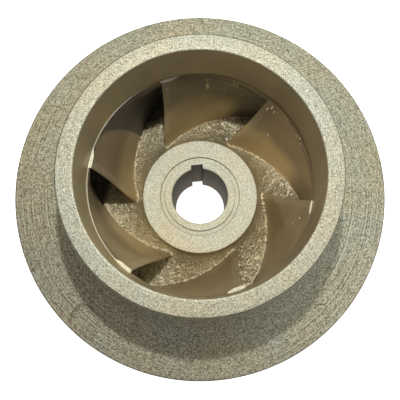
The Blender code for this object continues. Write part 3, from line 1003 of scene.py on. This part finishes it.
def make_beads(number, inner_face):
    """Small beads of metal along the seam between the vane's inner face and the floor, from the nose on."""
    chance = random.Random(number)
    over_first_row = inner_face[:, -1, 2] - inner_face[0, -1, 2]
    seam = inner_face[np.argmin(np.abs(over_first_row - ROOT_BURIED))][::-1]
    seam = seam[np.hypot(seam[:, 0], seam[:, 1]) < BEADS_END]
    lengths = np.concatenate([[0.0], np.cumsum(np.linalg.norm(np.diff(seam, axis=0), axis=1))])
    bm = bmesh.new()
    place = 0.0
    while place < lengths[-1]:
        centre = Vector([float(np.interp(place, lengths, seam[:, k])) for k in range(3)])
        centre += Vector([chance.uniform(-BEAD_SCATTER, BEAD_SCATTER) * MM for _ in range(3)])
        size = chance.uniform(*BEAD_SIZES) * MM
        stretch = Vector((chance.uniform(*BEAD_STRETCH), chance.uniform(*BEAD_STRETCH), 1.0)) * size
        matrix = Matrix.Translation(centre) @ Matrix.Diagonal(stretch).to_4x4()
        bmesh.ops.create_icosphere(bm, subdivisions=2, radius=1.0, matrix=matrix)
        place += BEAD_PITCH * chance.uniform(*BEAD_STEPS)
    # the beads' near-white colour is a painted glint
    rides(loose_piece(f"root_beads_{number}", bm, BEAD_GLINT), "vane_bronze")


def make_drips(vanes):
    """Flat drops and short runs of metal on the vanes' faces, found by looking out from the axis."""
    across, along, up = DRIP_HALVES
    bm = bmesh.new()
    for degrees, z, width, length in DRIPS:
        a = math.radians(degrees)
        out = Vector((math.cos(a), math.sin(a), 0))
        hits = [vane.ray_cast(Vector((0, 0, z)), out) for vane in vanes]
        hits = [hit for hit in hits if hit[0]]
        if not hits:
            continue
        _, place, normal, _ = min(hits, key=lambda hit: hit[1].to_2d().length)
        down = (Vector((0, 0, -1)) + normal * normal.z).normalized()
        turn = Matrix((normal.cross(down), down, normal)).transposed().to_4x4()
        size = Matrix.Diagonal((width * across, length * along, width * up, 1))
        matrix = Matrix.Translation(place) @ turn @ size
        bmesh.ops.create_icosphere(bm, subdivisions=3, radius=1.0, matrix=matrix)
    for vertex in bm.verts:
        vertex.co += Vector((1, 1, 1)) * DRIP_LUMPS * MM * grain(vertex.co, 0.5 * MM)
    rides(loose_piece("drips", bm, DRIP), "vane_bronze")


def mark_ring(bm, centre, out, half, taper):
    """A ring of vertices round the centre, across a mark that runs square to the direction out."""
    ring = []
    for k in range(MARK_SIDES):
        b = TAU * k / MARK_SIDES
        away = out * math.cos(b) + Vector((0, 0, math.sin(b)))
        ring.append(bm.verts.new(centre + away * half * taper * MM))
    return ring


def make_marks():
    """Curved ridges that the mould left on the front shroud."""
    bm = bmesh.new()
    for (x, y), radius, first, last, half in MARKS:
        steps = max(6, round(abs(last - first) / MARK_STEP))
        rings = []
        for i in range(steps + 1):
            a = math.radians(first + (last - first) * i / steps)
            out = Vector((math.cos(a), math.sin(a), 0))
            taper = math.sin(math.pi * (i + 0.3) / (steps + 0.6)) ** 0.5
            centre = Vector((x, y, 0)) * MM + out * radius * MM + Vector((0, 0, FLANGE_Z))
            centre += out * MARK_WANDER * MM * grain(centre, 1.2 * MM)
            rings.append(mark_ring(bm, centre, out, half, taper))
        for ring, following in zip(rings, rings[1:]):
            for k in range(MARK_SIDES):
                bm.faces.new((ring[k - 1], ring[k], following[k], following[k - 1]))
        bm.faces.new(rings[0])
        bm.faces.new(rings[-1][::-1])
    bmesh.ops.recalc_face_normals(bm, faces=bm.faces)
    # the ridges are coloured dark, a painted shadow
    rides(loose_piece("mould_marks", bm, EDGE_SHADE), "cast_bronze")


def loose_piece(name, bm, material):
    mesh = mesh_of(name, bm, material)
    mesh.shade_smooth()
    return add_object(name, mesh)


def make_floor():
    """Pale paper under the object, which glows so that it stays even and white."""
    bm = bmesh.new()
    bmesh.ops.create_circle(bm, cap_ends=True, segments=96, radius=FLOOR_RADIUS)
    g = Graph("floor_paper")
    tone = g.noise(60 * MM, detail=1.0)
    colour = g.mix(g.span(tone, 0.3, 0.7), (0.90, 0.90, 0.90), (0.93, 0.93, 0.93))
    g.shader.inputs["Emission Color"].default_value = (1.0, 1.0, 1.0, 1.0)
    g.shader.inputs["Emission Strength"].default_value = 1.0
    floor = add_object("floor", mesh_of("floor", bm, g.finish(colour, 0.9, 0.0)))


def make_backdrop():
    """A pale dome far round the object, which the camera sees and which lights and shades nothing."""
    bm = bmesh.new()
    bmesh.ops.create_icosphere(bm, subdivisions=5, radius=DOME_RADIUS)
    g = Graph("backdrop_paper")
    g.shader.inputs["Emission Color"].default_value = (1.0, 1.0, 1.0, 1.0)
    g.shader.inputs["Emission Strength"].default_value = 0.93
    dome = add_object("backdrop", mesh_of("backdrop", bm, g.finish((0.0, 0.0, 0.0, 1.0), 1.0, 0.0)))
    dome.visible_diffuse = False
    dome.visible_glossy = False
    dome.visible_transmission = False
    dome.visible_shadow = False


def add_light(name, kind, place, energy, colour, **settings):
    data = bpy.data.lights.new(name, kind)
    data.energy = energy
    data.color = colour
    for key, value in settings.items():
        setattr(data, key, value)
    light = add_object(name, data)
    light.location = place
    light.visible_camera = False
    return light


def add_window(name, azimuth, elevation, strength, colour):
    """A large soft source far off in that direction, like a window or a soft box."""
    a, e = math.radians(azimuth), math.radians(elevation)
    place = Vector((math.cos(a) * math.cos(e), math.sin(a) * math.cos(e), math.sin(e)))
    window = add_light(name, "SUN", place, strength, colour, angle=WINDOW_WIDTH)
    window.rotation_euler = (-place).to_track_quat("-Z", "Y").to_euler()


def make_lights():
    add_light("key", "POINT", KEY_PLACE, 0.97, (1.0, 0.994, 0.949), shadow_soft_size=4 * MM)
    add_light("lamp_right", "POINT", LAMP_PLACE, 0.42, (0.90, 0.95, 1.0), shadow_soft_size=50 * MM)
    for name, values in WINDOWS.items():
        add_window(name, *values)
    world = bpy.data.worlds.new("studio")
    world.use_nodes = True
    background = world.node_tree.nodes["Background"]
    background.inputs["Color"].default_value = (1.0, 0.99, 0.97, 1.0)
    background.inputs["Strength"].default_value = 0.05
    bpy.context.scene.world = world


def make_camera():
    data = bpy.data.cameras.new("camera")
    data.lens = LENS_MM
    data.sensor_width = 36.0
    data.clip_start = 0.005
    camera = add_object("camera", data)
    camera.location = CAMERA_PLACE
    camera.rotation_euler = (CAMERA_TILT, 0.0, 0.0)
    bpy.context.scene.camera = camera


make_front()
make_back()
make_hub()
make_drips([make_vane(number) for number in range(1, VANE_COUNT + 1)])
make_marks()
make_floor()
make_backdrop()
make_lights()
make_camera()
bpy.context.scene.view_settings.view_transform = "Standard"
